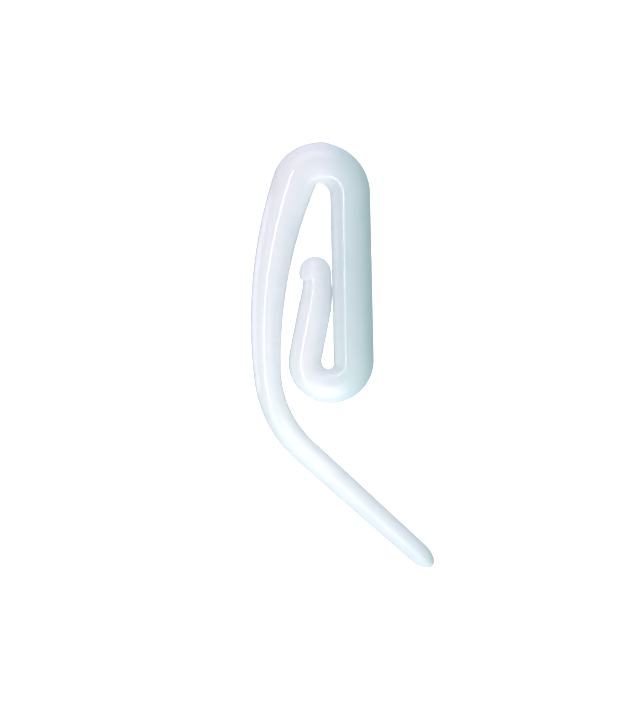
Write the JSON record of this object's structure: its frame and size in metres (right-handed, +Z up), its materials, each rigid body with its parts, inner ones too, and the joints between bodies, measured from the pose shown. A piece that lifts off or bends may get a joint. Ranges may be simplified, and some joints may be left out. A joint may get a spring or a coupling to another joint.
{
  "type": "curtain hook",
  "caption": "Moulded white nylon curtain hook, coiled like a snail: a sprung prong and U clip into heading tape, an arch hangs in a track glider, and a slim tail slopes away.",
  "frame": {"origin": "inside of the arch at its crest, where the glider's eye bears", "axes": "+X from the arm towards the shank, +Y through the depth, +Z up along the shank"},
  "size_m": [0.0143, 0.0028, 0.0342],
  "materials": {
    "white_nylon": "glossy, slightly translucent moulded nylon"
  },
  "bodies": {
    "root": {"curtain_hook": "white_nylon"}
  },
  "joints": []
}
